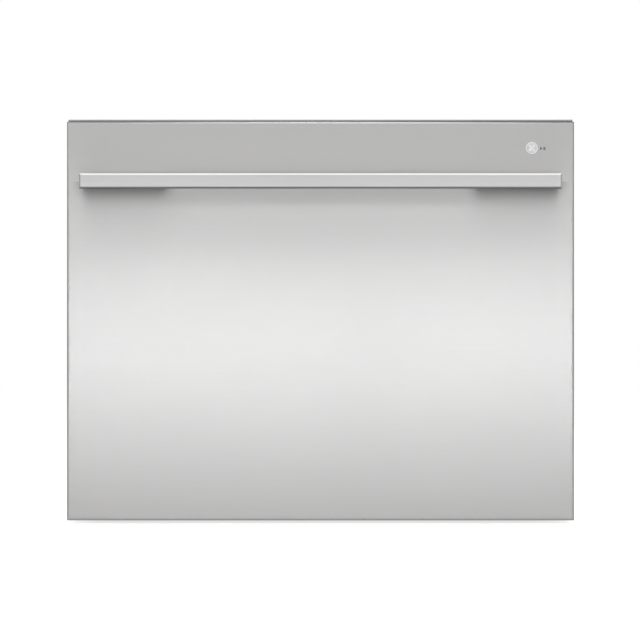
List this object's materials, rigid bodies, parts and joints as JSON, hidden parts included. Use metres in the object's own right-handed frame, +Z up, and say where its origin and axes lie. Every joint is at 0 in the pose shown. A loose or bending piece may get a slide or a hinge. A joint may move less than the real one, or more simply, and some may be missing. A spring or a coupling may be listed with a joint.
{
  "type": "dishwasher drawer",
  "caption": "Single dishwasher drawer: a wash tub with a steel front and bar handle that slides out of a low under-bench cabinet.",
  "frame": {"origin": "on the floor, at the middle of the outline seen from above, with the drawer shut", "axes": "+Z up, the front panel and its handle face -Y, +X to the right of a person who faces the front"},
  "size_m": [0.599, 0.611, 0.4774],
  "materials": {
    "brushed_steel_front": "stainless steel with a fine side-to-side brushed grain",
    "satin_bar": "satin stainless bar with crisp bevels",
    "button_steel": "spun steel face with fine circular grain",
    "polished_ring": "polished ring",
    "door_edge": "dark grey moulded strip",
    "zinc_sheet": "zinc-coated sheet with a faint spangle",
    "runner_steel": "bright zinc-plated steel strip",
    "filter_steel": "perforated stainless sheet",
    "heater_sheath": "steel sheath tinted by heat",
    "tub_moulding": "light grey moulding with a fine texture",
    "grey_moulding": "mid grey moulding",
    "basket_moulding": "grey moulded basket",
    "black_moulding": "black moulding with a fine texture",
    "black_rubber": "soft black rubber",
    "grey_hose": "grey hose",
    "coated_wire": "steel wire in a grey coating",
    "circuit_board": "green circuit board"
  },
  "bodies": {
    "chassis": {"cabinet_shell": "zinc_sheet", "cabinet_back": "zinc_sheet", "base_tray": "black_moulding", "lid_actuator_left": "black_moulding", "lid_actuator_right": "black_moulding", "inlet_valve": "grey_moulding", "drain_outlet": "grey_moulding", "terminal_box": "black_moulding", "swivel_base": "black_moulding", "fill_hose": "grey_hose", "drain_hose": "black_rubber", "runner_outer_left": "runner_steel", "runner_outer_right": "runner_steel"},
    "screw_foot_front_left": {"foot_front_left": "black_moulding"},
    "screw_foot_front_right": {"foot_front_right": "black_moulding"},
    "screw_foot_back_left": {"foot_back_left": "black_moulding"},
    "screw_foot_back_right": {"foot_back_right": "black_moulding"},
    "tray_float": {"flood_float": "tub_moulding"},
    "middle_runners": {"runner_middle_left": "runner_steel", "runner_middle_right": "runner_steel"},
    "lower_arm": {"hose_arm_lower": "grey_moulding"},
    "upper_arm": {"hose_arm_upper": "grey_moulding"},
    "lifting_lid": {"lid": "tub_moulding", "lid_seal": "black_rubber"},
    "drawer": {"tub": "tub_moulding", "runner_inner_left": "runner_steel", "runner_inner_right": "runner_steel", "pump_housing": "black_moulding", "heater": "heater_sheath", "filter_plate": "filter_steel", "fan_housing": "black_moulding", "controller_box": "black_moulding", "hose_bracket": "black_moulding", "door_skin": "brushed_steel_front", "door_carrier": "grey_moulding", "door_top_cap": "door_edge", "handle_bar": "satin_bar", "handle_standoff_left": "satin_bar", "handle_standoff_right": "satin_bar", "button_bezel": "polished_ring", "button_board": "circuit_board", "dispenser_body": "grey_moulding", "rack_floor": "coated_wire", "rack_side_left": "coated_wire", "rack_side_right": "coated_wire", "rack_front": "coated_wire", "rack_back": "coated_wire", "tine_row_back": "coated_wire", "cutlery_basket": "basket_moulding"},
    "push_button": {"start_button": "button_steel"},
    "pump_wheel": {"pump_rotor": "grey_moulding"},
    "spinning_arm": {"spray_arm": "grey_moulding"},
    "filter_cup": {"drain_filter": "grey_moulding"},
    "fan_wheel": {"fan_impeller": "grey_moulding"},
    "detergent_flap": {"dispenser_flap": "grey_moulding"},
    "twist_cap": {"rinse_aid_cap": "black_moulding"},
    "front_tines": {"tine_row_front": "coated_wire"},
    "middle_tines": {"tine_row_middle": "coated_wire"},
    "left_shelf": {"cup_shelf_left": "coated_wire"},
    "right_shelf": {"cup_shelf_right": "coated_wire"}
  },
  "joints": [
    {"name": "drawer_slide", "type": "slide", "parent": "chassis", "child": "drawer", "axis": [0, -1, 0], "range_m": [0, 0.5]},
    {"name": "middle_runner_slide", "type": "slide", "parent": "chassis", "child": "middle_runners", "axis": [0, -1, 0], "range_m": [0, 0.25]},
    {"name": "lower_arm_turn", "type": "hinge", "parent": "chassis", "child": "lower_arm", "pos_m": [-0.19, -0.01, 0.043], "axis": [0, 0, 1], "range_deg": [-40.7, 0]},
    {"name": "elbow_turn", "type": "hinge", "parent": "lower_arm", "child": "upper_arm", "pos_m": [0.1476, 0.115, 0.0533], "axis": [0, 0, 1], "range_deg": [0, 81.4]},
    {"name": "lid_lift", "type": "slide", "parent": "chassis", "child": "lifting_lid", "axis": [0, 0, 1], "range_m": [0, 0.008]},
    {"name": "start_button_press", "type": "slide", "parent": "drawer", "child": "push_button", "axis": [0, 1, 0], "range_m": [0, 0.001], "stiffness_N_per_m": 800},
    {"name": "spray_arm_spin", "type": "hinge", "parent": "drawer", "child": "spinning_arm", "pos_m": [0, 0.011, 0.138], "axis": [0, 0, 1], "continuous": true},
    {"name": "pump_rotor_spin", "type": "hinge", "parent": "drawer", "child": "pump_wheel", "pos_m": [0, 0.011, 0.079], "axis": [0, 0, 1], "continuous": true},
    {"name": "fan_spin", "type": "hinge", "parent": "drawer", "child": "fan_wheel", "pos_m": [-0.1497, -0.13, 0.1], "axis": [0, 0, 1], "continuous": true},
    {"name": "detergent_flap_hinge", "type": "hinge", "parent": "drawer", "child": "detergent_flap", "pos_m": [-0.025, -0.2039, 0.32], "axis": [-1, 0, 0], "range_deg": [0, 95]},
    {"name": "rinse_aid_cap_turn", "type": "hinge", "parent": "drawer", "child": "twist_cap", "pos_m": [0.05, -0.2067, 0.352], "axis": [0, 1, 0], "range_deg": [0, 90]},
    {"name": "drain_filter_turn", "type": "hinge", "parent": "drawer", "child": "filter_cup", "pos_m": [0.03677, 0.04777, 0.115], "axis": [0, 0, 1], "range_deg": [0, 90]},
    {"name": "front_tines_fold", "type": "hinge", "parent": "drawer", "child": "front_tines", "pos_m": [-0.094, -0.109, 0.1548], "axis": [-1, 0, 0], "range_deg": [0, 88]},
    {"name": "middle_tines_fold", "type": "hinge", "parent": "drawer", "child": "middle_tines", "pos_m": [-0.094, -0.004, 0.1548], "axis": [-1, 0, 0], "range_deg": [0, 88]},
    {"name": "left_shelf_fold", "type": "hinge", "parent": "drawer", "child": "left_shelf", "pos_m": [-0.262, 0.0295, 0.2948], "axis": [0, -1, 0], "range_deg": [0, 85]},
    {"name": "right_shelf_fold", "type": "hinge", "parent": "drawer", "child": "right_shelf", "pos_m": [0.262, 0.0295, 0.2948], "axis": [0, 1, 0], "range_deg": [0, 85]},
    {"name": "float_rise", "type": "slide", "parent": "chassis", "child": "tray_float", "axis": [0, 0, 1], "range_m": [0, 0.006]},
    {"name": "foot_front_left_screw", "type": "slide", "parent": "chassis", "child": "screw_foot_front_left", "axis": [0, 0, -1], "range_m": [0, 0.04]},
    {"name": "foot_front_right_screw", "type": "slide", "parent": "chassis", "child": "screw_foot_front_right", "axis": [0, 0, -1], "range_m": [0, 0.04]},
    {"name": "foot_back_left_screw", "type": "slide", "parent": "chassis", "child": "screw_foot_back_left", "axis": [0, 0, -1], "range_m": [0, 0.04]},
    {"name": "foot_back_right_screw", "type": "slide", "parent": "chassis", "child": "screw_foot_back_right", "axis": [0, 0, -1], "range_m": [0, 0.04]}
  ],
  "couplings": [
    {"joint": "middle_runner_slide", "follows": "drawer_slide", "ratio": 0.5},
    {"joint": "lower_arm_turn", "follows": "drawer_slide", "rad_per_m": -1.4184},
    {"joint": "elbow_turn", "follows": "drawer_slide", "rad_per_m": 2.8369}
  ]
}
